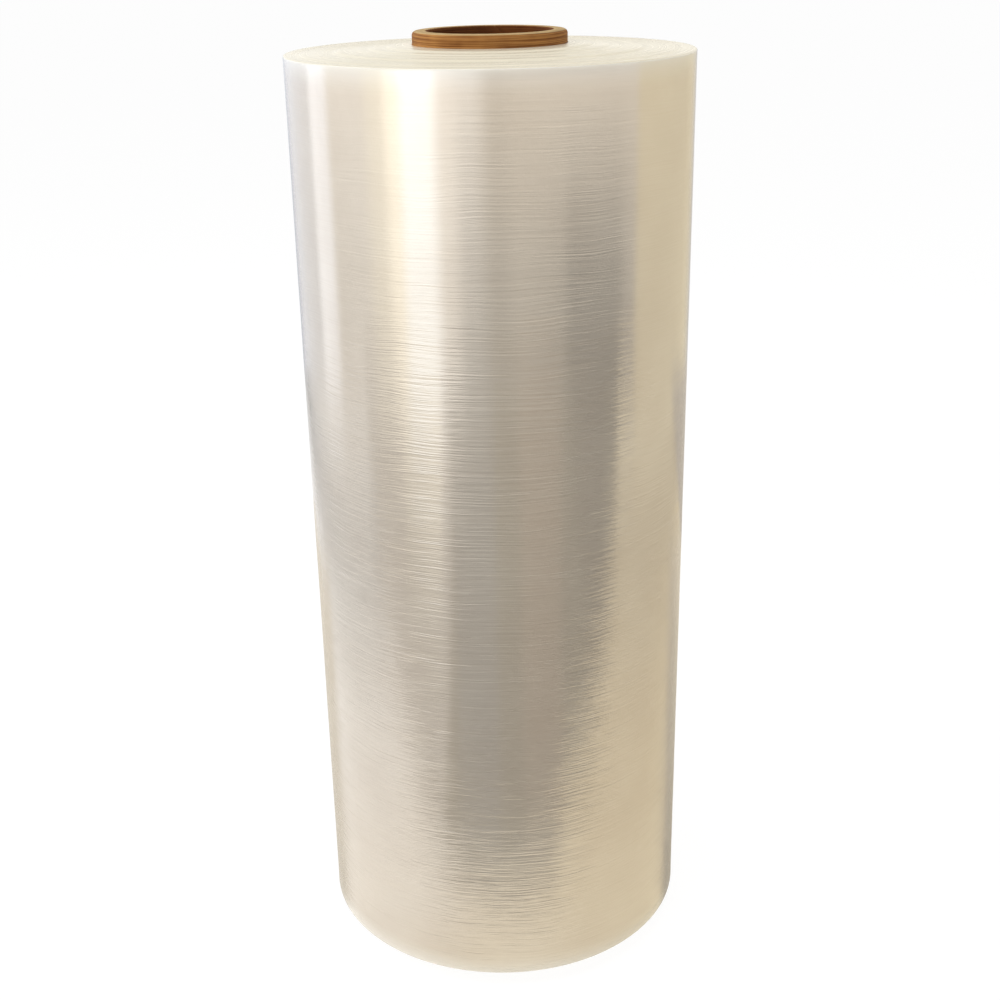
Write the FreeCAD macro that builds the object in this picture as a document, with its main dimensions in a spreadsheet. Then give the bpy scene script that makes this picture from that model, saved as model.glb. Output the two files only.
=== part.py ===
import FreeCAD, Part
import math
import os
import Sketcher

# A machine roll of stretch wrap, standing on end: clear film wound tight on a paperboard core.
# Lengths are millimetres. +Z is up, along the roll's axis. The origin is the centre of the
# core's lower end, which the roll stands on.

DRIVING_SIZES = {
    "filmWidth": 500.0,      # width of the film, the same for every turn
    "rollDiameter": 212.0,   # over the outer turn
    "coreBore": 65.0,        # inside the paperboard core
    "coreWall": 7.5,         # paperboard plies, glued into one wall
    "coreReach": 10.0,       # how far the core stands out past the outer turn, at each end
    "coreEdgeRound": 2.2,    # the core's outer end edges, softened by handling
    "boreEdgeRound": 0.8,    # the core's inner end edges
    "turnShift": 3.4,        # how much higher the first turns lie than the outer turn
    "bandPitch": 5.4,        # mean radial build of one band of turns
    "bandWander": 0.3,       # how far a band of turns strays along the axis
    "rimRound": 0.9,         # the outer turn's soft edges
}

# Shape of the winding, as plain shares and angles.
SHIFT_POWER = 1.35       # the end face is steeper beside the core than at the rim
PITCH_SWAY = 0.30        # a band is up to this share wider or narrower than the mean
PITCH_SWAY_TURN = 97.0   # degrees from one band to the next, for the widths
WANDER_TURN = 137.5      # degrees from one band to the next, for the strays
WALL_SHARE = 0.45        # the most of the core's wall that one edge radius takes

# The sizes that are worked out from the sheet, as expressions for the features to follow.
CORE_RADIUS = "(Sizes.coreBore / 2 + Sizes.coreWall)"
ROLL_RADIUS = "(Sizes.rollDiameter / 2)"
CORE_LENGTH = "(Sizes.filmWidth + 2 * Sizes.coreReach)"


def make_sheet(doc):
    """Puts the driving dimensions in a sheet, one named cell for each."""
    sheet = doc.addObject("Spreadsheet::Sheet", "Sizes")
    for row, (name, value) in enumerate(DRIVING_SIZES.items(), start=1):
        sheet.set(f"A{row}", name)
        sheet.set(f"B{row}", str(value))
        sheet.setAlias(f"B{row}", name)
    doc.recompute()
    return sheet


def add_body(doc, node):
    body = doc.addObject("PartDesign::Body", node)
    body.Label = node
    return body


def section_sketch(body, name):
    """An empty sketch on the body's own XZ plane: across is the radius, up is the height."""
    sketch = body.newObject("Sketcher::SketchObject", name)
    plane = next(f for f in body.Origin.OriginFeatures if f.Role == "XZ_Plane")
    sketch.AttachmentSupport = [(plane, "")]
    sketch.MapMode = "FlatFace"
    return sketch


def square_section(sketch, radii, heights):
    """Draws a closed outline whose sides run upright and level by turns.

    radii holds one (name, expression, value) for each upright side, and heights one for each
    level side. Upright side k runs from level side k - 1 to level side k.
    """
    count = len(radii)
    corners = []
    for k in range(count):
        corners.append((radii[k][2], heights[k - 1][2]))
        corners.append((radii[k][2], heights[k][2]))
    for k, (across, up) in enumerate(corners):
        end = corners[(k + 1) % len(corners)]
        sketch.addGeometry(
            Part.LineSegment(FreeCAD.Vector(across, up, 0), FreeCAD.Vector(*end, 0)), False
        )
    constraints = []
    for k in range(2 * count):
        constraints.append(Sketcher.Constraint("Coincident", k, 2, (k + 1) % (2 * count), 1))
        constraints.append(Sketcher.Constraint("Horizontal" if k % 2 else "Vertical", k))
    sketch.addConstraint(constraints)
    for k in range(count):
        place_side(sketch, "DistanceX", 2 * k, *radii[k])
        place_side(sketch, "DistanceY", 2 * k + 1, *heights[k])


def place_side(sketch, kind, line, name, expression, value):
    """Sets one side's distance from the sketch's origin, and ties it to the sheet."""
    index = sketch.addConstraint(Sketcher.Constraint(kind, -1, 1, line, 1, value))
    sketch.renameConstraint(index, name)
    sketch.setExpression(f"Constraints.{name}", expression)


def revolve(body, name, sketch):
    turned = body.newObject("PartDesign::Revolution", name)
    turned.Profile = sketch
    turned.ReferenceAxis = (sketch, ["V_Axis"])
    turned.Angle = 360.0
    sketch.Visibility = False
    body.Document.recompute()
    return turned


def round_edges(body, name, base, radius, heights, size):
    """Rounds the circular edges of the given radius that lie at the given heights."""
    reach = 0.01
    edges = []
    for number, edge in enumerate(base.Shape.Edges, start=1):
        curve = edge.Curve
        if not isinstance(curve, Part.Circle) or abs(curve.Radius - radius) > reach:
            continue
        if any(abs(curve.Center.z - height) < reach for height in heights):
            edges.append(f"Edge{number}")
    rounded = body.newObject("PartDesign::Fillet", name)
    rounded.Base = (base, edges)
    rounded.setExpression("Radius", size)
    body.Document.recompute()
    return rounded


def within_wall(name):
    """An edge radius of the core that leaves some flat end on a thin wall."""
    return f"min(Sizes.{name}; Sizes.coreWall * {WALL_SHARE})"


def make_core(doc, sheet):
    """The core: one glued tube of spirally wound paperboard, open right through."""
    bore = sheet.coreBore / 2
    outside = bore + sheet.coreWall
    length = sheet.filmWidth + 2 * sheet.coreReach
    body = add_body(doc, "core_tube")
    sketch = section_sketch(body, "coreSection")
    square_section(
        sketch,
        [("bore", "Sizes.coreBore / 2", bore), ("outside", CORE_RADIUS, outside)],
        [("upperEnd", CORE_LENGTH, length), ("lowerEnd", "0", 0.0)],
    )
    tube = revolve(body, "coreTurned", sketch)
    ends = (0.0, length)
    tube = round_edges(body, "coreEdges", tube, outside, ends, within_wall("coreEdgeRound"))
    return round_edges(body, "boreEdges", tube, bore, ends, within_wall("boreEdgeRound"))


def winding_bands(sheet):
    """The bands of turns, from the core outwards, as (share of the build at the band's outer
    side, share of turnShift, share of bandWander)."""
    build = sheet.rollDiameter / 2 - sheet.coreBore / 2 - sheet.coreWall
    count = max(3, round(build / sheet.bandPitch))
    widths = [1 + PITCH_SWAY * math.sin(math.radians(PITCH_SWAY_TURN * k)) for k in range(count)]
    bands = []
    for k in range(count):
        outer_share = sum(widths[: k + 1]) / sum(widths)
        shift = (1 - k / (count - 1)) ** SHIFT_POWER
        stray = math.sin(math.radians(WANDER_TURN * k)) if k < count - 1 else 0.0
        bands.append((outer_share, shift, stray))
    return bands


def make_film(doc, sheet):
    """The film: thousands of turns clinging to each other as one solid ring.

    Every turn has the same width, so a band of turns that lies higher at the upper end lies
    as much higher at the lower end, and both end faces show the turns as low rings.
    """
    inside = sheet.coreBore / 2 + sheet.coreWall
    outside = sheet.rollDiameter / 2
    bands = winding_bands(sheet)
    radii = [("inside", CORE_RADIUS, inside)]
    upper = []
    lower = []
    for k, (share, shift, stray) in enumerate(bands):
        radius = inside + (outside - inside) * share
        radius_rule = f"{CORE_RADIUS} + ({ROLL_RADIUS} - {CORE_RADIUS}) * {share:.5f}"
        radii.append((f"band{k}", radius_rule, radius))
        foot = sheet.coreReach + sheet.turnShift * shift + sheet.bandWander * stray
        foot_rule = f"Sizes.coreReach + Sizes.turnShift * {shift:.5f} + Sizes.bandWander * {stray:.5f}"
        upper.append((f"top{k}", f"{foot_rule} + Sizes.filmWidth", foot + sheet.filmWidth))
        lower.append((f"foot{k}", foot_rule, foot))
    inner_sides = radii[1:-1]
    back = [(f"{name}foot", rule, value) for name, rule, value in reversed(inner_sides)]
    body = add_body(doc, "film_roll")
    sketch = section_sketch(body, "windingSection")
    square_section(sketch, radii + back, upper + list(reversed(lower)))
    ring = revolve(body, "filmTurned", sketch)
    rims = (sheet.coreReach, sheet.coreReach + sheet.filmWidth)
    return round_edges(body, "filmRims", ring, outside, rims, "Sizes.rimRound")


def check(doc, nodes):
    """Stops if a feature failed or a piece isn't one sound solid."""
    for item in doc.Objects:
        if {"Invalid", "Error"} & set(item.State):
            raise RuntimeError(f"{item.Name} failed: {item.State}")
    for body in nodes:
        shape = body.Shape
        if shape.isNull() or not shape.isValid() or len(shape.Solids) != 1:
            raise RuntimeError(f"{body.Label} isn't one sound solid")


def write(nodes):
    os.makedirs("parts", exist_ok=True)
    for body in nodes:
        body.Shape.exportStep(f"parts/{body.Label}.step")
        box = body.Shape.optimalBoundingBox()
        litres = body.Shape.Volume / 1e6
        print(
            f"{body.Label}: {box.XLength:.1f} x {box.YLength:.1f} x {box.ZLength:.1f} mm, "
            f"from z {box.ZMin:.1f} to {box.ZMax:.1f}, {litres:.3f} litres"
        )


def main():
    doc = FreeCAD.newDocument("stretch_wrap_roll")
    sheet = make_sheet(doc)
    make_core(doc, sheet)
    make_film(doc, sheet)
    doc.recompute()
    nodes = [item for item in doc.Objects if item.TypeId == "PartDesign::Body"]
    check(doc, nodes)
    write(nodes)


main()
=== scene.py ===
# A machine roll of clear stretch film, wound tight on its paperboard core and standing on end.
# Lengths are metres, angles are degrees, and a heading counts from the front (-Y) towards +X.

import math

import bmesh
import bpy
from mathutils import Matrix, Vector, noise


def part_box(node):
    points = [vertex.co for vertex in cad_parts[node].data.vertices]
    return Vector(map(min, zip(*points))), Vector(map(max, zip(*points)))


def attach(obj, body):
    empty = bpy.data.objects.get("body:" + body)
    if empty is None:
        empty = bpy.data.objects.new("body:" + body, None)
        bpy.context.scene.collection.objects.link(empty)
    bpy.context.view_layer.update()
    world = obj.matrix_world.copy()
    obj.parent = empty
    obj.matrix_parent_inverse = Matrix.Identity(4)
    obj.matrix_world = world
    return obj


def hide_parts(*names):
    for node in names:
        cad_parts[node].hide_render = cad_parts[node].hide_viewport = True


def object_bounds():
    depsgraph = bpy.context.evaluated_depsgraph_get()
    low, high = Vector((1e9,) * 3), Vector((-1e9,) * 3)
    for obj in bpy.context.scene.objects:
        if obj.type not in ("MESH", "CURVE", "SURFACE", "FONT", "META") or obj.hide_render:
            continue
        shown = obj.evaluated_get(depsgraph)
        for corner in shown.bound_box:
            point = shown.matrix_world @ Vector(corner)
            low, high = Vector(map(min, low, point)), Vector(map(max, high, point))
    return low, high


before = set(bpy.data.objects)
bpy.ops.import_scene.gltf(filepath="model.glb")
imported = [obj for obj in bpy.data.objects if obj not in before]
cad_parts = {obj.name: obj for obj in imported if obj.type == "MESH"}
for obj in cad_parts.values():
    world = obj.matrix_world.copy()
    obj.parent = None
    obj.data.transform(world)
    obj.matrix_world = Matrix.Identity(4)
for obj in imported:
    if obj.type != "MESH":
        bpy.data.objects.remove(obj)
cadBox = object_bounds()
print("frame loaded")

mm = 0.001
tolerance = 0.02 * mm   # two measures closer than this are the same
zAxis = Vector((0, 0, 1))


# Camera

cameraSettings = {
    "place": (0.0, -0.7727, 0.5676),
    "lookDown": 21.67,
    "turnRight": 0.08,
    "lean": -1.01,          # the horizon tips this much
    "lens": 51.72,          # mm, on a sensor 36 mm wide
}


def makeCamera():
    s = cameraSettings
    data = bpy.data.cameras.new("photoCamera")
    data.lens = s["lens"]
    data.sensor_width = 36.0
    data.clip_start = 0.01
    camera = bpy.data.objects.new("photoCamera", data)
    bpy.context.scene.collection.objects.link(camera)
    turn = Matrix.Rotation(-math.radians(s["turnRight"]), 4, "Z")
    tilt = Matrix.Rotation(math.radians(90 - s["lookDown"]), 4, "X")
    lean = Matrix.Rotation(math.radians(s["lean"]), 4, "Z")
    camera.matrix_world = Matrix.Translation(s["place"]) @ turn @ tilt @ lean
    bpy.context.scene.camera = camera


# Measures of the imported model


def radiusOf(point):
    return math.hypot(point.x, point.y)


# The flat rings on one end of a node, as (inner radius, outer radius, height), from the axis
# out. Rings narrower than a millimetre belong to a rounded edge and are left out.
def flatRings(node, upper):
    low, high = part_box(node)
    middle = (low.z + high.z) / 2
    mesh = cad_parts[node].data
    rings = {}
    for face in mesh.polygons:
        points = [mesh.vertices[i].co for i in face.vertices]
        heights = [point.z for point in points]
        if max(heights) - min(heights) > tolerance or (heights[0] > middle) != upper:
            continue
        radii = [radiusOf(point) for point in points]
        inner, outer = rings.get(round(heights[0], 6), (1.0, 0.0))
        rings[round(heights[0], 6)] = (min([inner] + radii), max([outer] + radii))
    return sorted(
        (inner, outer, height) for height, (inner, outer) in rings.items() if outer - inner > mm
    )


filmUpper = flatRings("film_roll", True)
filmLower = flatRings("film_roll", False)
coreUpper = flatRings("core_tube", True)[0]
coreLower = flatRings("core_tube", False)[0]
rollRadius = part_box("film_roll")[1].x
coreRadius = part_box("core_tube")[1].x
boreRadius = min(radiusOf(vert.co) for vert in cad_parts["core_tube"].data.vertices)


# Mesh helpers


def headingVector(heading):
    angle = math.radians(heading)
    return Vector((math.sin(angle), -math.cos(angle), 0))


# A ring with a square section, turned about the Z axis
def turnRing(mesh, inner, outer, foot, top, columns):
    corners = [(inner, foot), (outer, foot), (outer, top), (inner, top)]
    points = [mesh.verts.new((radius, 0, height)) for radius, height in corners]
    edges = [mesh.edges.new(pair) for pair in zip(points, points[1:] + points[:1])]
    bmesh.ops.spin(
        mesh, geom=points + edges, axis=zAxis, cent=(0, 0, 0),
        angle=2 * math.pi, steps=columns, use_merge=True,
    )
    bmesh.ops.remove_doubles(mesh, verts=mesh.verts, dist=1e-6)
    bmesh.ops.recalc_face_normals(mesh, faces=mesh.faces)


# Rounds the two circular corners at a radius
def roundCorners(mesh, radius, size, segments):
    corners = [
        edge for edge in mesh.edges
        if all(abs(radiusOf(vert.co) - radius) < tolerance for vert in edge.verts)
        and abs(edge.verts[0].co.z - edge.verts[1].co.z) < tolerance
    ]
    bmesh.ops.bevel(
        mesh, geom=corners, offset=size, offset_type="OFFSET", segments=segments,
        profile=0.5, affect="EDGES", material=-1, clamp_overlap=False,
    )


# Cuts the upright edges near a radius, longer than half the ring, into rows
def cutRows(mesh, radius, rows):
    sides = [
        edge for edge in mesh.edges
        if abs(radiusOf(edge.verts[0].co) - radius) < tolerance
        and abs(edge.verts[0].co.z - edge.verts[1].co.z) > rollRadius
    ]
    bmesh.ops.subdivide_edges(mesh, edges=sides, cuts=rows - 1)


# Cuts the level edges that cross an end face into rings
def cutRings(mesh, rings):
    spokes = [
        edge for edge in mesh.edges
        if abs(edge.verts[0].co.z - edge.verts[1].co.z) < tolerance
        and abs(radiusOf(edge.verts[0].co) - radiusOf(edge.verts[1].co)) > 2 * mm
    ]
    bmesh.ops.subdivide_edges(mesh, edges=spokes, cuts=rings - 1)


# Cuts upright lines into one side of a ring, at a heading and at small shifts beside it
def cutUprights(mesh, heading, shifts):
    outward = headingVector(heading)
    along = headingVector(heading + 90)
    for shift in shifts:
        faces = [
            face for face in mesh.faces
            if face.calc_center_median().dot(outward) > boreRadius / 2
        ]
        geom = list({item for face in faces for item in (face, *face.edges, *face.verts)})
        bmesh.ops.bisect_plane(mesh, geom=geom, plane_co=along * shift, plane_no=along, dist=1e-7)


def newPiece(name, mesh, materials):
    data = bpy.data.meshes.new(name)
    mesh.normal_update()
    mesh.to_mesh(data)
    mesh.free()
    for material in materials:
        data.materials.append(material)
    data.shade_smooth()
    piece = bpy.data.objects.new(name, data)
    bpy.context.scene.collection.objects.link(piece)
    return piece


# Walls take the first material, end faces the second, and the wall of a bore the last
def giveMaterials(mesh, boreMaterial=0):
    mesh.normal_update()
    for face in mesh.faces:
        centre = face.calc_center_median()
        inward = face.normal.x * centre.x + face.normal.y * centre.y < 0
        if abs(face.normal.z) > 0.8:
            face.material_index = 1
        else:
            face.material_index = boreMaterial if inward else 0


# Film

filmSettings = {
    "columns": 112,             # round the roll
    "wallRows": 600,            # up the wall
    "rings": 100,               # across an end face
    "turnStray": 0.02 * mm,     # how far a fine ring strays along the axis
    "turnPitch": 1.7 * mm,      # about how thick a fine ring is
    "ringPlaces": (3.1, 5.0),   # where the noise is read, and how far on for the upper end
    "ringSway": 0.4,            # a ring's stray around the roll, as a share of its own
    "ringSwaySize": 50 * mm,
    "ringSwayTurn": 8,          # how fast that sway changes from one ring to the next
    "stepWidth": 4 * mm,        # over which one band of turns passes to the next
    "wrinkleDepth": 0.04 * mm,
    "wrinklePitch": 1.9 * mm,
    "wrinkleLength": 32 * mm,
    "wrinkleSway": 1.2 * mm,    # how far a wrinkle wanders up and down
    "swayLength": 40 * mm,
    "finerSize": 1.7,           # a second set of wrinkles is this much shorter
    "finerPitch": 1.4,          # and this much closer together
    "finerShare": 0.6,          # and this deep
    "finerShift": 40,           # so that the two sets differ
    "patchSize": 50 * mm,       # wrinkles are deeper in some patches than in others
    "patchShift": 7,
    "patchDepth": (0.6, 0.4),   # the middle, and how far it goes up and down
    "footDepth": (1.2, 0.9),    # at the foot, and how much less at the top
    "waveDepth": 0.12 * mm,     # broad soft waves between hard and slack turns
    "waveLength": 42 * mm,
    "waveWidth": 250 * mm,      # around the roll, on the finer wrinkles' scale
    "endEase": 4 * mm,          # the wall is smooth this close to its rims
    "tailHeading": 149.6,       # where the film's loose end lies
    "tailStep": 0.10 * mm,
    "tailStrip": 0.35 * mm,     # width of the strip that the step takes
}


# The height of an end face at a radius, with soft steps between its bands of turns
def endHeight(bands, radius):
    height = bands[0][2]
    for before, after in zip(bands, bands[1:]):
        share = min(max((radius - before[1]) / filmSettings["stepWidth"] + 0.5, 0.0), 1.0)
        height += (after[2] - before[2]) * share * share * (3 - 2 * share)
    return height


# How far the wall lies inside its full round at a point: fine wrinkles on broad soft waves
def wallDepth(point):
    s = filmSettings
    around = Vector((point.x, point.y, 0))
    height = point.z + s["wrinkleSway"] * noise.noise(point / s["swayLength"])
    fine = noise.noise(around / s["wrinkleLength"] + zAxis * (height / s["wrinklePitch"]))
    around *= s["finerSize"]
    finerHeight = s["finerPitch"] * height / s["wrinklePitch"] + s["finerShift"]
    finer = noise.noise(around / s["wrinkleLength"] + zAxis * finerHeight)
    middle, swing = s["patchDepth"]
    patch = middle + swing * noise.noise(point / s["patchSize"] + zAxis * s["patchShift"])
    atFoot, less = s["footDepth"]
    patch *= atFoot - less * (point.z - cadBox[0].z) / (cadBox[1].z - cadBox[0].z)
    wave = noise.noise(around / s["waveWidth"] + zAxis * (2 * height / s["waveLength"]))
    wrinkles = s["wrinkleDepth"] * patch * (1.0 + fine + s["finerShare"] * finer)
    return wrinkles + s["waveDepth"] * 0.5 * (1 + wave)


def makeFilm(materials):
    s = filmSettings
    rim = filmUpper[-1][1]
    foot, top = filmLower[-1][2], filmUpper[-1][2]
    wallFoot, wallTop = foot + rollRadius - rim, top - rollRadius + rim
    mesh = bmesh.new()
    turnRing(mesh, coreRadius, rollRadius, foot, top, s["columns"])
    roundCorners(mesh, rollRadius, rollRadius - rim, 4)
    cutRings(mesh, s["rings"])
    cutRows(mesh, rollRadius, s["wallRows"])
    cutUprights(mesh, s["tailHeading"], (0.0, s["tailStrip"]))
    tail = math.radians(s["tailHeading"]) + s["tailStrip"] / rollRadius
    for vert in mesh.verts:
        point = vert.co
        radius = radiusOf(point)
        if radius > rim + tolerance:
            ease = min(max(min(point.z - wallFoot, wallTop - point.z) / s["endEase"], 0.0), 1.0)
            turned = (math.atan2(point.x, -point.y) - tail + tolerance) % (2 * math.pi)
            depth = wallDepth(point) * ease + s["tailStep"] * (1 - turned / (2 * math.pi))
            point.xy *= (radius - depth) / radius
        else:
            upper = point.z > wallFoot + rollRadius
            place, further = s["ringPlaces"]
            ring = noise.noise(Vector((radius / s["turnPitch"], place, further if upper else 0.0)))
            around = Vector((point.x, point.y, radius * s["ringSwayTurn"]))
            sway = noise.noise(around / s["ringSwaySize"])
            inside = min(1.0, (radius - coreRadius) / mm, (rim - radius) / mm)
            point.z = endHeight(filmUpper if upper else filmLower, radius)
            point.z += s["turnStray"] * (ring + s["ringSway"] * sway) * max(inside, 0.0)
    giveMaterials(mesh)
    film = newPiece("film_turns", mesh, materials)
    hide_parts("film_roll")
    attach(film, "root")


# Core

coreSettings = {
    "columns": 120,
    "wallRows": 260,
    "plies": 14,
    "plyDepth": 0.10 * mm,      # how deep the glue lines lie between the plies' cut edges
    "plyRough": (0.6, 0.4),     # share of that depth, and how far it goes up and down
    "plyRoughSize": 6 * mm,
    "seamWidth": 0.9 * mm,
    "seamDepth": 0.18 * mm,     # of the spiral seams outside and inside
    "outerSeam": 210.0,         # heading of each seam at the core's foot
    "innerSeam": 270.0,
    "seamLead": 190 * mm,       # how far a seam climbs in one turn
}


def makeCore(materials):
    s = coreSettings
    inner, outer, top = coreUpper
    foot = coreLower[2]
    mesh = bmesh.new()
    turnRing(mesh, boreRadius, coreRadius, foot, top, s["columns"])
    roundCorners(mesh, coreRadius, coreRadius - outer, 5)
    roundCorners(mesh, boreRadius, inner - boreRadius, 3)
    cutRings(mesh, 2 * s["plies"])
    cutRows(mesh, coreRadius, s["wallRows"])
    cutRows(mesh, boreRadius, s["wallRows"])
    for heading in (s["outerSeam"], s["innerSeam"]):
        cutUprights(mesh, heading, (-s["seamWidth"] / 2, s["seamWidth"] / 2))
    plyWidth = (outer - inner) / s["plies"]
    for vert in mesh.verts:
        point = vert.co
        radius = radiusOf(point)
        push = 0.0
        if radius > outer + tolerance:
            side = headingVector(s["outerSeam"])
            push = -s["seamDepth"]
        elif radius < inner - tolerance:
            side = headingVector(s["innerSeam"])
            push = s["seamDepth"]
        else:
            ply = (radius - inner) / plyWidth
            middle, swing = s["plyRough"]
            rough = middle + swing * noise.noise(Vector((point.x, point.y, 0)) / s["plyRoughSize"])
            depth = s["plyDepth"] * rough * (1 - math.cos(2 * math.pi * ply)) / 2
            point.z += -depth if point.z > rollRadius else depth
        if push and point.xy.normalized().dot(side.xy) > 1 - 1e-6:
            point.xy *= (radius + push) / radius
        point.rotate(Matrix.Rotation(2 * math.pi * point.z / s["seamLead"], 3, "Z"))
    giveMaterials(mesh, boreMaterial=2)
    core = newPiece("core_board", mesh, materials)
    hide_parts("core_tube")
    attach(core, "root")


# Shader helpers


def addNode(tree, kind, inputs=None, **settings):
    node = tree.nodes.new(kind)
    for name, value in settings.items():
        setattr(node, name, value)
    for name, value in (inputs or {}).items():
        node.inputs[name].default_value = value
    return node


def join(tree, source, output, target, socket):
    tree.links.new(source.outputs[output], target.inputs[socket])


# One number from one or two others; a value is a (node, output) pair or a plain number
def calculate(tree, operation, *values):
    node = addNode(tree, "ShaderNodeMath", operation=operation)
    for socket, value in zip(node.inputs, values):
        if isinstance(value, tuple):
            tree.links.new(value[0].outputs[value[1]], socket)
        else:
            socket.default_value = value
    return (node, "Value")


def mixColours(tree, share, first, second):
    node = addNode(tree, "ShaderNodeMix", data_type="RGBA")
    tree.links.new(share[0].outputs[share[1]], node.inputs["Factor"])
    for socket, value in ((node.inputs[6], first), (node.inputs[7], second)):
        if isinstance(value[0], bpy.types.Node):
            tree.links.new(value[0].outputs[value[1]], socket)
        else:
            socket.default_value = (*value, 1)
    return (node, 2)


def mapRange(tree, value, low, high, newLow, newHigh):
    node = addNode(tree, "ShaderNodeMapRange", {
        "From Min": low, "From Max": high, "To Min": newLow, "To Max": newHigh,
    })
    tree.links.new(value[0].outputs[value[1]], node.inputs["Value"])
    return (node, "Result")


def newGroup(name, inputs, outputs):
    tree = bpy.data.node_groups.new(name, "ShaderNodeTree")
    for label, kind in inputs:
        tree.interface.new_socket(label, in_out="INPUT", socket_type=kind)
    for label, kind in outputs:
        tree.interface.new_socket(label, in_out="OUTPUT", socket_type=kind)
    return tree, tree.nodes.new("NodeGroupInput"), tree.nodes.new("NodeGroupOutput")


def newMaterial(name):
    material = bpy.data.materials.new(name)
    material.use_nodes = True
    tree = material.node_tree
    tree.nodes.clear()
    shader = addNode(tree, "ShaderNodeBsdfPrincipled")
    output = addNode(tree, "ShaderNodeOutputMaterial")
    join(tree, shader, "BSDF", output, "Surface")
    return material, tree, shader


lineSettings = {
    "swayScale": 26.0,
    "fineScale": 2.3,           # the fine lines are this much smaller than the lines
    "patchSpan": (0.3, 0.7),    # of the noise that makes the patches, from 0 to 1
}


# Fine lines that follow the turns. Across counts over the lines: the height on a wall, or the
# radius on an end face. Lines wander by Sway, and each is about Length long and Pitch thick.
def makeWoundLines():
    tree, start, end = newGroup(
        "woundLines",
        [("Place", "NodeSocketVector"), ("Across", "NodeSocketFloat"), ("Length", "NodeSocketFloat"),
         ("Pitch", "NodeSocketFloat"), ("Sway", "NodeSocketFloat")],
        [("Lines", "NodeSocketFloat"), ("Fine", "NodeSocketFloat")],
    )
    wander = addNode(tree, "ShaderNodeTexNoise", {
        "Scale": lineSettings["swayScale"], "Detail": 1.0,
    })
    join(tree, start, "Place", wander, "Vector")
    sway = calculate(tree, "SUBTRACT", (wander, "Fac"), 0.5)
    sway = calculate(tree, "MULTIPLY", sway, (start, "Sway"))
    across = calculate(tree, "ADD", (start, "Across"), sway)
    across = calculate(tree, "DIVIDE", across, (start, "Pitch"))
    split = addNode(tree, "ShaderNodeSeparateXYZ")
    join(tree, start, "Place", split, "Vector")
    place = addNode(tree, "ShaderNodeCombineXYZ")
    for axis in ("X", "Y"):
        along = calculate(tree, "DIVIDE", (split, axis), (start, "Length"))
        tree.links.new(along[0].outputs["Value"], place.inputs[axis])
    tree.links.new(across[0].outputs["Value"], place.inputs["Z"])
    lines = addNode(tree, "ShaderNodeTexNoise", {"Scale": 1.0, "Detail": 1.0, "Roughness": 0.5})
    fine = addNode(tree, "ShaderNodeTexNoise", {
        "Scale": lineSettings["fineScale"], "Detail": 1.0,
    })
    for texture, label in ((lines, "Lines"), (fine, "Fine")):
        join(tree, place, "Vector", texture, "Vector")
        join(tree, texture, "Fac", end, label)
    return tree


# Soft cloudy patches, from 0 to 1
def makePatches():
    tree, start, end = newGroup(
        "softPatches",
        [("Place", "NodeSocketVector"), ("Size", "NodeSocketFloat")],
        [("Patches", "NodeSocketFloat")],
    )
    scale = calculate(tree, "DIVIDE", 1.0, (start, "Size"))
    clouds = addNode(tree, "ShaderNodeTexNoise", {"Detail": 2.0, "Roughness": 0.5})
    join(tree, start, "Place", clouds, "Vector")
    tree.links.new(scale[0].outputs["Value"], clouds.inputs["Scale"])
    patches = mapRange(tree, (clouds, "Fac"), *lineSettings["patchSpan"], 0.0, 1.0)
    tree.links.new(patches[0].outputs["Result"], end.inputs["Patches"])
    return tree


def useGroup(tree, group, place, values):
    node = addNode(tree, "ShaderNodeGroup", node_tree=group)
    join(tree, place[0], place[1], node, "Place")
    for name, value in values.items():
        if isinstance(value, tuple):
            tree.links.new(value[0].outputs[value[1]], node.inputs[name])
        else:
            node.inputs[name].default_value = value
    return node


# Film materials

wallFinish = {
    "clear": (0.72, 0.645, 0.55),   # where the turns look greyer
    "milky": (0.78, 0.71, 0.615),   # where they look whiter
    "crestHighlight": (0.95, 0.92, 0.86),    # painted highlight on a wrinkle's crest, where it catches light
    "crestHighlightShare": 0.05,
    "rim": (0.97, 0.94, 0.87),      # light comes through the turns near both rims
    "rimWidth": 14 * mm,
    "rimPearl": 0.25,
    "pearl": 0.45,                  # share of light that the turns throw back as a mirror would
    "roughness": 0.085,
    "stretch": 0.3,
    "coat": 0.1,
    "gloss": 0.5,
    "lineLength": 42 * mm,
    "linePitch": 0.8 * mm,
    "lineSway": 4 * mm,
    "bump": 0.15 * mm,
    "bumpShare": (1.8, 0.15),       # of the bump, at the foot and at the top
    "looseTurn": 13.0,              # the film lies loose over this many degrees before its end
    "looseBump": 1.5,
}
endFinish = {
    "clear": (0.80, 0.735, 0.58),
    "milky": (0.87, 0.81, 0.66),
    # Painted highlight: the crests of the fine rings are paler
    "crestHighlight": (0.93, 0.90, 0.82),
    "crestHighlightShare": 0.15,
    "pearl": 0.3,
    "roughness": 0.25,
    "stretch": 0.8,
    "coat": 0.0,
    "gloss": 0.3,
    "lineLength": 160 * mm,
    "linePitch": 0.7 * mm,
    "lineSway": 0.8 * mm,
    "bump": 0.02 * mm,
    "bumpShare": (1.0, 1.0),
}


# Shared by the wall and the end faces
filmLook = {
    "coatRoughness": 0.12,
    "stretchTurn": 0.25,            # of a full turn, how far the gloss's stretch is turned
    "patchSize": 0.06,              # of the whiter and greyer patches
    "crestHighlightSpan": (0.35, 0.7),       # a line is a crest, with its painted highlight, from the first value up to the second
    "fineSpan": (0.3, 0.7),
    "roughSwing": 0.03,             # how far the fine lines change the roughness, up and down
    "fineShare": 0.25,              # of the bump
    "looseWhite": 0.4,              # how much whiter the film is where it lies loose
}


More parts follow.
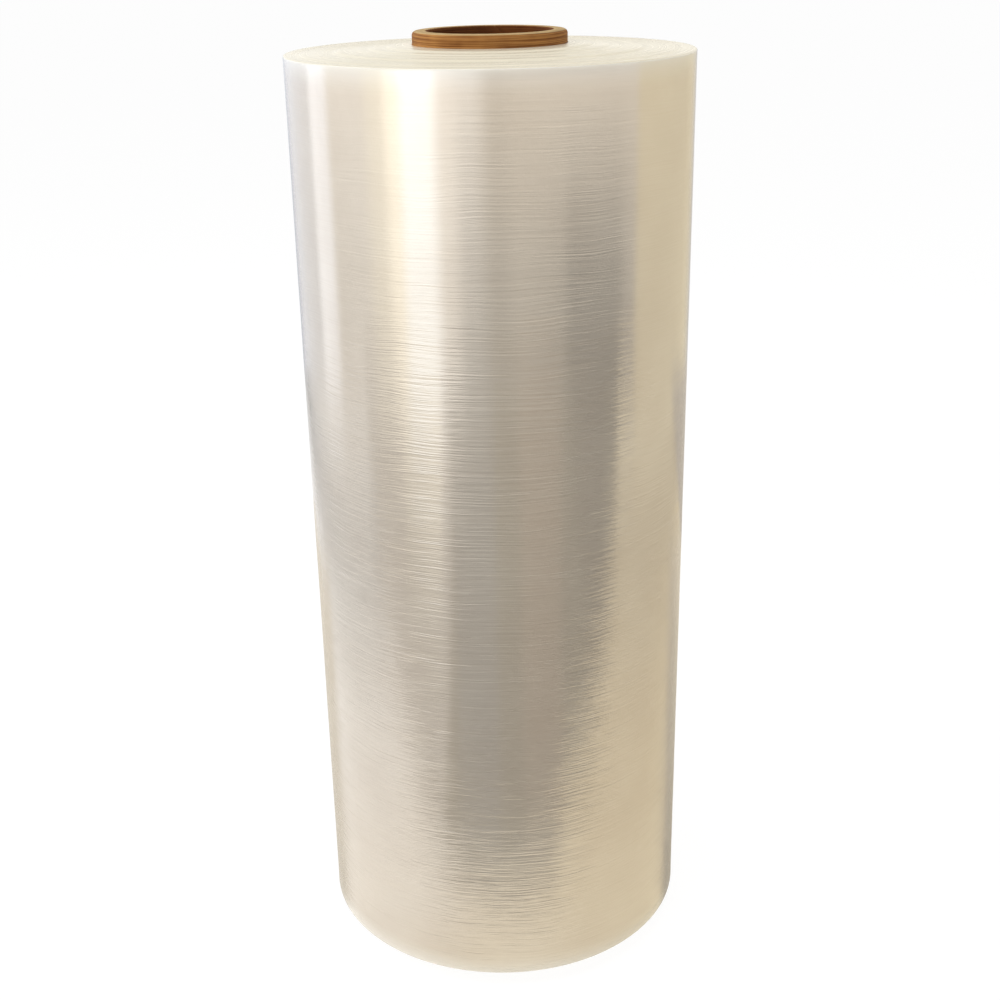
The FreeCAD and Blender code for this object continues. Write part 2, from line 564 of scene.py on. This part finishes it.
def setFilmShader(tree, shader, finish):
    shader.inputs["Metallic"].default_value = finish["pearl"]
    shader.inputs["Anisotropic"].default_value = finish["stretch"]
    shader.inputs["Anisotropic Rotation"].default_value = filmLook["stretchTurn"]
    shader.inputs["Coat Weight"].default_value = finish["coat"]
    shader.inputs["Coat Roughness"].default_value = filmLook["coatRoughness"]
    shader.inputs["Specular IOR Level"].default_value = finish["gloss"]
    tangent = addNode(tree, "ShaderNodeTangent", direction_type="RADIAL", axis="Z")
    join(tree, tangent, "Tangent", shader, "Tangent")


def headingOf(tree, split):
    ahead = calculate(tree, "MULTIPLY", (split, "Y"), -1.0)
    return calculate(tree, "ARCTAN2", (split, "X"), ahead)


# From 0 to 1 over the last degrees of the outer turn, up to the film's loose end
def looseEnd(tree, split, turn):
    heading = headingOf(tree, split)
    end = math.radians(filmSettings["tailHeading"])
    before = calculate(tree, "LESS_THAN", heading, end)
    rising = mapRange(tree, heading, end - math.radians(turn), end, 0.0, 1.0)
    return calculate(tree, "MULTIPLY", before, rising)


def makeFilmMaterial(name, finish, onWall, woundLines, softPatches):
    material, tree, shader = newMaterial(name)
    setFilmShader(tree, shader, finish)
    place = addNode(tree, "ShaderNodeTexCoord")
    split = addNode(tree, "ShaderNodeSeparateXYZ")
    join(tree, place, "Object", split, "Vector")
    if onWall:
        across = (split, "Z")
    else:
        flat = addNode(tree, "ShaderNodeVectorMath", {1: (1, 1, 0)}, operation="MULTIPLY")
        join(tree, place, "Object", flat, 0)
        length = addNode(tree, "ShaderNodeVectorMath", operation="LENGTH")
        join(tree, flat, "Vector", length, 0)
        across = (length, "Value")
    lines = useGroup(tree, woundLines, (place, "Object"), {
        "Across": across, "Length": finish["lineLength"],
        "Pitch": finish["linePitch"], "Sway": finish["lineSway"],
    })
    patches = useGroup(tree, softPatches, (place, "Object"), {"Size": filmLook["patchSize"]})
    colour = mixColours(tree, (patches, "Patches"), finish["clear"], finish["milky"])
    if onWall:
        middle = (filmUpper[-1][2] + filmLower[-1][2]) / 2
        half = filmUpper[-1][2] - middle
        fromMiddle = calculate(tree, "SUBTRACT", (split, "Z"), middle)
        fromMiddle = calculate(tree, "ABSOLUTE", fromMiddle)
        rim = mapRange(tree, fromMiddle, half - finish["rimWidth"], half, 0.0, 1.0)
        rim = calculate(tree, "MULTIPLY", rim, rim)
        colour = mixColours(tree, rim, colour, finish["rim"])
        loose = looseEnd(tree, split, finish["looseTurn"])
        whiter = calculate(tree, "MULTIPLY", loose, filmLook["looseWhite"])
        colour = mixColours(tree, whiter, colour, finish["rim"])
        pearl = mapRange(tree, rim, 0.0, 1.0, finish["pearl"], finish["rimPearl"])
        join(tree, *pearl, shader, "Metallic")
    # Painted highlight: the crests of the lines are paler
    crestHighlight = mapRange(tree, (lines, "Lines"), *filmLook["crestHighlightSpan"], 0.0, finish["crestHighlightShare"])
    colour = mixColours(tree, crestHighlight, colour, finish["crestHighlight"])
    tree.links.new(colour[0].outputs[colour[1]], shader.inputs["Base Color"])
    middling, swing = finish["roughness"], filmLook["roughSwing"]
    rough = mapRange(tree, (lines, "Fine"), *filmLook["fineSpan"], middling - swing, middling + swing)
    tree.links.new(rough[0].outputs["Result"], shader.inputs["Roughness"])
    height = calculate(tree, "MULTIPLY", (lines, "Fine"), filmLook["fineShare"])
    height = calculate(tree, "ADD", (lines, "Lines"), height)
    share = mapRange(tree, (split, "Z"), filmLower[-1][2], filmUpper[-1][2], *finish["bumpShare"])
    if onWall:
        share = calculate(tree, "ADD", share, calculate(tree, "MULTIPLY", loose, finish["looseBump"]))
    height = calculate(tree, "MULTIPLY", height, share)
    bump = addNode(tree, "ShaderNodeBump", {"Strength": 1.0, "Distance": finish["bump"]})
    tree.links.new(height[0].outputs["Value"], bump.inputs["Height"])
    join(tree, bump, "Normal", shader, "Normal")
    return material


# Core materials

boardFinish = {
    "wall": ((0.15, 0.045, 0.008), (0.50, 0.235, 0.065)),   # dark and pale fibres
    "cut": ((0.34, 0.21, 0.085), (0.62, 0.45, 0.22)),
    # the bore's board is the wall's, darkened with painted shade inside the tube
    "bore": ((0.07, 0.015, 0.001), (0.20, 0.062, 0.010)),
    "roughness": 0.72,
    "gloss": 0.15,
    "lineLength": 40 * mm,
    "wallPitch": 0.42 * mm,
    "cutPitch": 0.3 * mm,
    "lineSway": 0.6 * mm,
    "patchSize": 0.012,
    "shares": (0.7, 0.25, 0.1),     # of the lines, the fine lines and the patches
    "span": (0.36, 0.66),           # of their sum, from the dark colour to the pale one
    "fibreScale": 1400.0,
    "bumpStrength": 0.6,
    "bump": 0.12 * mm,
}


def makeBoardMaterial(name, finish, onWall, woundLines, softPatches):
    look = boardFinish
    dark, pale = finish
    material, tree, shader = newMaterial(name)
    place = addNode(tree, "ShaderNodeTexCoord")
    split = addNode(tree, "ShaderNodeSeparateXYZ")
    join(tree, place, "Object", split, "Vector")
    if onWall:
        across = (split, "Z")
    else:
        flat = addNode(tree, "ShaderNodeVectorMath", {1: (1, 1, 0)}, operation="MULTIPLY")
        join(tree, place, "Object", flat, 0)
        length = addNode(tree, "ShaderNodeVectorMath", operation="LENGTH")
        join(tree, flat, "Vector", length, 0)
        across = (length, "Value")
    lines = useGroup(tree, woundLines, (place, "Object"), {
        "Across": across, "Length": look["lineLength"],
        "Pitch": look["wallPitch"] if onWall else look["cutPitch"], "Sway": look["lineSway"],
    })
    patches = useGroup(tree, softPatches, (place, "Object"), {"Size": look["patchSize"]})
    lineShare, fineShare, patchShare = look["shares"]
    share = calculate(tree, "MULTIPLY", (lines, "Lines"), lineShare)
    share = calculate(tree, "ADD", share, calculate(tree, "MULTIPLY", (lines, "Fine"), fineShare))
    cloudy = calculate(tree, "MULTIPLY", (patches, "Patches"), patchShare)
    share = calculate(tree, "ADD", share, cloudy)
    share = mapRange(tree, share, *look["span"], 0.0, 1.0)
    colour = mixColours(tree, share, dark, pale)
    tree.links.new(colour[0].outputs[colour[1]], shader.inputs["Base Color"])
    shader.inputs["Roughness"].default_value = look["roughness"]
    shader.inputs["Specular IOR Level"].default_value = look["gloss"]
    fibre = addNode(tree, "ShaderNodeTexNoise", {"Scale": look["fibreScale"], "Detail": 2.0})
    join(tree, place, "Object", fibre, "Vector")
    height = calculate(tree, "ADD", (lines, "Lines"), (fibre, "Fac"))
    bump = addNode(tree, "ShaderNodeBump", {
        "Strength": look["bumpStrength"], "Distance": look["bump"],
    })
    tree.links.new(height[0].outputs["Value"], bump.inputs["Height"])
    join(tree, bump, "Normal", shader, "Normal")
    return material


# Stage: a pale floor, soft lamps, and cards that only reflections see

stageSettings = {
    "softLight": 0.34,                  # the room's light on the roll
    "floorColours": [                   # in reflections, by place along X
        (-1.20, (1.12, 1.12, 1.16)), (-0.85, (0.83, 0.85, 0.90)), (-0.62, (0.48, 0.50, 0.55)),
        (-0.45, (0.92, 0.93, 0.96)), (-0.30, (1.18, 1.17, 1.18)), (-0.12, (1.22, 1.17, 1.10)),
        (0.00, (1.25, 1.14, 0.90)), (0.12, (1.12, 0.97, 0.66)), (0.25, (1.04, 0.88, 0.57)),
        (0.45, (0.93, 0.79, 0.52)), (0.62, (0.74, 0.63, 0.42)), (0.90, (1.02, 0.91, 0.65)),
        (1.20, (1.08, 0.96, 0.70)),
    ],
    "brightest": 1.25,                  # of those colours
    "backFade": (0.5, 1.1, 0.65),       # between these places along Y it dims to this share
    "backWhite": 1.1,                   # behind the roll, as plain as the photograph's
    "floorWhite": 0.85,                 # share of the floor that is plain white, over its shadows
    "floorGlow": 1.1,
    "floorHalf": 15,                    # half the floor's width
    "paper": (0.9, 0.9, 0.9),           # the floor's own colour, under its shadows
    "lampAim": 0.26,                    # the height that every lamp points at
}

# The room that the gloss reflects is a ring of glowing card. Each stop has a heading, a tint, and
# how bright the card is there at the foot and further up. Between stops it changes softly.
cool, plain, grey = (0.96, 1.01, 1.13), (1.0, 0.98, 0.96), (1.0, 0.93, 0.83)
warm, bright, cream = (1.0, 0.97, 0.87), (0.97, 1.02, 1.08), (1.0, 0.89, 0.64)
room = {
    "sides": 90,
    "radius": 1.2,
    "height": 2.5,
    "span": (0.0, 0.4),     # heights between which the cards grow brighter
    "strength": 2.6,        # the brightest
    "above": (1.15, 1.12, 1.02),    # the plainer colour above the roll
    "aboveSpan": (0.48, 0.62),
    "aboveShare": 0.6,
    "stops": [
        (-180, plain, 0.40, 0.70), (-160, cool, 0.60, 0.75), (-140, cool, 0.90, 1.05),
        (-118, cool, 0.85, 1.10), (-110, cool, 1.45, 1.75), (-102, cool, 1.38, 1.68),
        (-93, plain, 0.78, 1.30), (-75, plain, 0.86, 1.38), (-62, warm, 1.15, 1.60),
        (-52, warm, 1.70, 2.35), (-44, bright, 1.95, 2.60), (-34, bright, 1.95, 2.60),
        (-24, plain, 1.25, 1.85), (-12, plain, 0.62, 1.60), (2, grey, 0.40, 1.10),
        (14, grey, 0.54, 1.20), (24, grey, 0.48, 1.22), (36, grey, 0.40, 1.22),
        (42, grey, 0.16, 1.22), (68, grey, 0.18, 1.20), (80, grey, 0.50, 1.20),
        (87, cream, 0.94, 1.15),
        (137, cream, 0.94, 1.00), (165, plain, 0.60, 0.70), (180, plain, 0.40, 0.70),
    ],
}

# Cloths lie on the floor, given by their corners. Their glow runs over a span along Y.
cloths = {
    "darkCloth": {
        "corners": [
            (-9, -9), (9, -9), (9, -2.6), (1.08, -0.34), (0.55, -0.26),
            (0.17, -0.25), (0.08, -0.195), (-0.10, -0.195), (-0.3, -0.23), (-9, -0.23),
        ],
        "height": 1 * mm, "colour": (0.27, 0.24, 0.18),
        "glow": (1.0, 1.45), "span": (-0.5, -1.1),
    },
    "coolCloth": {
        "corners": [(-0.10, -0.25), (-0.007, -0.25), (-0.04, -1.3), (-0.63, -1.3)],
        "height": 3 * mm, "colour": (0.27, 0.26, 0.245),
        "glow": (1.0, 1.5), "span": (-0.5, -1.1),
    },
    "roseCloth": {
        "corners": [(0.048, -0.262), (0.158, -0.262), (0.97, -1.3), (0.29, -1.3)],
        "height": 3 * mm, "colour": (0.36, 0.295, 0.225),
        "glow": (1.0, 1.35), "span": (-0.5, -1.0),
    },
    "shadowCloth": {
        "corners": [(0.40, -0.38), (0.47, -0.27), (8, -3.6), (6, -6.4)],
        "height": 2 * mm, "colour": (0.20, 0.17, 0.13),
        "glow": (1.0, 1.5), "span": (-0.35, -0.75),
    },
    "leftCloth": {
        "corners": [(-3.86, -9), (-0.14, -0.225), (-9, -0.225), (-9, -9)],
        "height": 2 * mm, "colour": (0.58, 0.55, 0.53),
        "glow": (1.0, 1.3), "span": (-0.4, -1.2),
    },
    "lightPool": {
        "corners": [(-0.30, -0.44), (-0.62, -1.10), (-1.02, -0.76), (-0.48, -0.37)],
        "height": 3 * mm, "colour": (0.60, 0.58, 0.53),
        "glow": (0.8, 2.4), "span": (-0.37, -0.90),
    },
    "nearRight": {
        "corners": [(0.095, -0.045), (0.50, 0.35), (0.30, 0.65), (0.0, 0.65), (0.0, 0.08)],
        "height": 1 * mm, "colour": (0.78, 0.70, 0.56),
        "glow": (0.62, 1.0), "span": (0.0, 0.4),
    },
    "nearLeft": {
        "corners": [(-0.095, -0.045), (0.0, 0.08), (0.0, 0.65), (-0.30, 0.65), (-0.45, 0.30)],
        "height": 1 * mm, "colour": (0.80, 0.74, 0.64),
        "glow": (0.92, 1.0), "span": (0.0, 0.4),
    },
    "backCloth": {
        "corners": [(0.12, 0.5), (9, 1.8), (9, 9), (0.6, 9)],
        "height": 2 * mm, "colour": (0.60, 0.55, 0.48),
        "glow": (1.0, 1.2), "span": (0.5, 2.0),
    },
}


def onlyReflected(card):
    card.visible_camera = False
    card.visible_diffuse = False
    card.visible_shadow = False
    card.visible_transmission = False


def glowMaterial(name):
    material = bpy.data.materials.new(name)
    material.use_nodes = True
    tree = material.node_tree
    tree.nodes.clear()
    glow = addNode(tree, "ShaderNodeEmission")
    output = addNode(tree, "ShaderNodeOutputMaterial")
    join(tree, glow, "Emission", output, "Surface")
    place = addNode(tree, "ShaderNodeTexCoord")
    split = addNode(tree, "ShaderNodeSeparateXYZ")
    join(tree, place, "Object", split, "Vector")
    return material, tree, split, glow


def layCloth(name, cloth):
    material, tree, split, glow = glowMaterial(name)
    glow.inputs["Color"].default_value = (*cloth["colour"], 1)
    strength = mapRange(tree, (split, "Y"), *cloth["span"], *cloth["glow"])
    join(tree, *strength, glow, "Strength")
    mesh = bmesh.new()
    mesh.faces.new([mesh.verts.new((x, y, cloth["height"])) for x, y in cloth["corners"]])
    onlyReflected(newPiece(name, mesh, [material]))


# Each colour comes with its place. The ramp holds them divided by the brightest, so that no
# part is over 1, and the glow's strength makes up for it.
def colourRamp(tree, value, colours, brightest):
    low, high = colours[0][0], colours[-1][0]
    ramp = addNode(tree, "ShaderNodeValToRGB")
    ramp.color_ramp.interpolation = "EASE"
    stops = ramp.color_ramp.elements
    while len(stops) < len(colours):
        stops.new(0.5)
    for stop, (place, colour) in zip(stops, colours):
        stop.position = (place - low) / (high - low)
        stop.color = (*(part / brightest for part in colour), 1)
    share = mapRange(tree, value, low, high, 0.0, 1.0)
    join(tree, *share, ramp, "Fac")
    return (ramp, "Color")


def roomColours(level):
    return [(math.radians(heading), [part * levels[level] for part in tint])
            for heading, tint, *levels in room["stops"]]


def makeRoom():
    material, tree, split, glow = glowMaterial("room")
    heading = headingOf(tree, split)
    rise = mapRange(tree, (split, "Z"), *room["span"], 0.0, 1.0)
    rise = calculate(tree, "MULTIPLY", rise, rise)
    colour = mixColours(tree, rise, *(
        colourRamp(tree, heading, roomColours(level), room["strength"]) for level in (0, 1)
    ))
    above = [part / room["strength"] for part in room["above"]]
    share = mapRange(tree, (split, "Z"), *room["aboveSpan"], 0.0, room["aboveShare"])
    colour = mixColours(tree, share, colour, above)
    join(tree, *colour, glow, "Color")
    glow.inputs["Strength"].default_value = room["strength"]
    mesh = bmesh.new()
    bmesh.ops.create_circle(mesh, segments=room["sides"], radius=room["radius"])
    raised = bmesh.ops.extrude_edge_only(mesh, edges=mesh.edges[:])["geom"]
    upper = [item for item in raised if isinstance(item, bmesh.types.BMVert)]
    bmesh.ops.translate(mesh, verts=upper, vec=zAxis * room["height"])
    onlyReflected(newPiece("room", mesh, [material]))


def makeFloor():
    material = bpy.data.materials.new("paleFloor")
    material.use_nodes = True
    tree = material.node_tree
    tree.nodes.clear()
    place = addNode(tree, "ShaderNodeTexCoord")
    split = addNode(tree, "ShaderNodeSeparateXYZ")
    join(tree, place, "Object", split, "Vector")
    tint = colourRamp(tree, (split, "X"), stageSettings["floorColours"], stageSettings["brightest"])
    near, far, share = stageSettings["backFade"]
    brightest = stageSettings["brightest"]
    level = mapRange(tree, (split, "Y"), near, far, brightest, brightest * share)
    light = addNode(tree, "ShaderNodeLightPath")
    paper = addNode(tree, "ShaderNodeBsdfDiffuse", {"Color": (*stageSettings["paper"], 1)})
    white = addNode(tree, "ShaderNodeEmission", {"Strength": stageSettings["floorGlow"]})
    tinted = addNode(tree, "ShaderNodeEmission")
    join(tree, *tint, tinted, "Color")
    join(tree, *level, tinted, "Strength")
    seen = addNode(tree, "ShaderNodeMixShader")
    shown = addNode(tree, "ShaderNodeMixShader")
    share = calculate(tree, "MULTIPLY", (light, "Is Camera Ray"), stageSettings["floorWhite"])
    tree.links.new(share[0].outputs["Value"], seen.inputs["Fac"])
    join(tree, paper, "BSDF", seen, 1)
    join(tree, white, "Emission", seen, 2)
    share = calculate(tree, "MULTIPLY", (light, "Is Glossy Ray"), stageSettings["floorWhite"])
    tree.links.new(share[0].outputs["Value"], shown.inputs["Fac"])
    join(tree, seen, "Shader", shown, 1)
    join(tree, tinted, "Emission", shown, 2)
    output = addNode(tree, "ShaderNodeOutputMaterial")
    join(tree, shown, "Shader", output, "Surface")
    mesh = bmesh.new()
    bmesh.ops.create_grid(mesh, x_segments=1, y_segments=1, size=stageSettings["floorHalf"])
    newPiece("floor", mesh, [material])


def makeWorld():
    world = bpy.data.worlds.new("studio")
    bpy.context.scene.world = world
    world.use_nodes = True
    tree = world.node_tree
    tree.nodes.clear()
    light = addNode(tree, "ShaderNodeLightPath")
    soft, white = (
        addNode(tree, "ShaderNodeBackground", {
            "Color": (1, 1, 1, 1), "Strength": stageSettings[level],
        })
        for level in ("softLight", "backWhite")
    )
    shown = addNode(tree, "ShaderNodeMixShader")
    seen = calculate(tree, "MAXIMUM", (light, "Is Camera Ray"), (light, "Is Glossy Ray"))
    join(tree, *seen, shown, "Fac")
    join(tree, soft, "Background", shown, 1)
    join(tree, white, "Background", shown, 2)
    output = addNode(tree, "ShaderNodeOutputWorld")
    join(tree, shown, "Shader", output, "Surface")


lamps = {
    "key": {"heading": -78, "height": 1.5, "distance": 1.6, "size": 1.2, "power": 18,
            "colour": (1.0, 0.99, 0.97), "reflected": False},
    "fill": {"heading": 45, "height": 1.2, "distance": 1.8, "size": 1.4, "power": 1.5,
             "colour": (1.0, 0.93, 0.82), "reflected": False},
    "top": {"heading": 0, "height": 2.2, "distance": 0.3, "size": 1.0, "power": 11,
            "colour": (1.0, 0.99, 0.96), "reflected": False},
    "window": {"heading": -126, "height": 0.78, "distance": 1.3, "size": 0.3, "power": 1.6,
               "colour": (0.92, 0.97, 1.0), "reflected": True},
}


def makeLamp(name, settings):
    data = bpy.data.lights.new(name, "AREA")
    data.shape = "SQUARE"
    data.size = settings["size"]
    data.energy = settings["power"]
    data.color = settings["colour"]
    lamp = bpy.data.objects.new(name, data)
    bpy.context.scene.collection.objects.link(lamp)
    place = headingVector(settings["heading"]) * settings["distance"] + zAxis * settings["height"]
    aim = zAxis * stageSettings["lampAim"] - place
    lamp.matrix_world = Matrix.Translation(place) @ aim.to_track_quat("-Z", "Y").to_matrix().to_4x4()
    lamp.visible_glossy = settings["reflected"]


def makeStage():
    bpy.context.scene.view_settings.view_transform = "Standard"
    makeWorld()
    makeFloor()
    makeRoom()
    for name, cloth in cloths.items():
        layCloth(name, cloth)
    for name, lamp in lamps.items():
        makeLamp(name, lamp)


makeCamera()
print("camera placed")
woundLines = makeWoundLines()
softPatches = makePatches()
makeCore([
    makeBoardMaterial("boardWall", boardFinish["wall"], True, woundLines, softPatches),
    makeBoardMaterial("boardCut", boardFinish["cut"], False, woundLines, softPatches),
    # the bore's material carries painted shade: its colours are darker than the wall's
    makeBoardMaterial("boardBoreShaded", boardFinish["bore"], True, woundLines, softPatches),
])
print("core made")
makeFilm([
    makeFilmMaterial("filmWall", wallFinish, True, woundLines, softPatches),
    makeFilmMaterial("filmEnds", endFinish, False, woundLines, softPatches),
])
print("film wound")
makeStage()
print("stage set")
